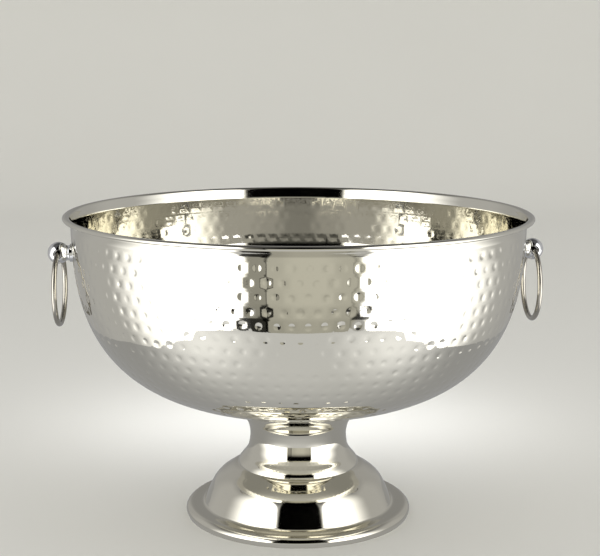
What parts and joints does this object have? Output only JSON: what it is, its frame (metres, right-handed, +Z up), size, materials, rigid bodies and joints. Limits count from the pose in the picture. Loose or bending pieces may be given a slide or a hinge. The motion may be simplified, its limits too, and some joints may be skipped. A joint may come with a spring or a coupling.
{
  "type": "footed champagne bowl",
  "caption": "Wide hammered metal bowl on a flared, turned foot, with a drop ring on each side for lifting; it holds ice and bottles on a bar or buffet.",
  "frame": {"origin": "centre of the foot's resting face, on the table", "axes": "+Z up along the bowl's axis, +X through the right handle, +Y away from the front"},
  "size_m": [0.4284, 0.401, 0.2664],
  "materials": {
    "polished_hammered_metal": "polished metal with rows of small hammered dimples outside",
    "polished_metal": "mirror polished, with faint turning lines",
    "chromed_metal": "bright chrome plate",
    "nickel_wire": "polished nickel plate, slightly worn",
    "zinc_plated_steel": "dull zinc plate",
    "black_rubber": "matt black rubber"
  },
  "bodies": {
    "stand": {"bowl_shell": "polished_hammered_metal", "foot_shell": "polished_metal", "foot_stud": "polished_metal", "foot_clamp_plate": "zinc_plated_steel", "foot_washer": "zinc_plated_steel", "foot_spring_washer": "zinc_plated_steel", "foot_nut": "zinc_plated_steel", "left_handle_knob": "chromed_metal", "left_handle_collar": "chromed_metal", "left_handle_washer": "chromed_metal", "left_handle_seal": "black_rubber", "left_handle_screw": "zinc_plated_steel", "right_handle_knob": "chromed_metal", "right_handle_collar": "chromed_metal", "right_handle_washer": "chromed_metal", "right_handle_seal": "black_rubber", "right_handle_screw": "zinc_plated_steel"},
    "left_ring": {"left_handle_ring": "nickel_wire"},
    "right_ring": {"right_handle_ring": "nickel_wire"}
  },
  "joints": [
    {"name": "left_ring_hinge", "type": "hinge", "parent": "stand", "child": "left_ring", "pos_m": [-0.2049, 0, 0.2325], "axis": [0, 1, 0], "range_deg": [-20, 185]},
    {"name": "right_ring_hinge", "type": "hinge", "parent": "stand", "child": "right_ring", "pos_m": [0.2049, 0, 0.2325], "axis": [0, -1, 0], "range_deg": [-20, 185]}
  ]
}
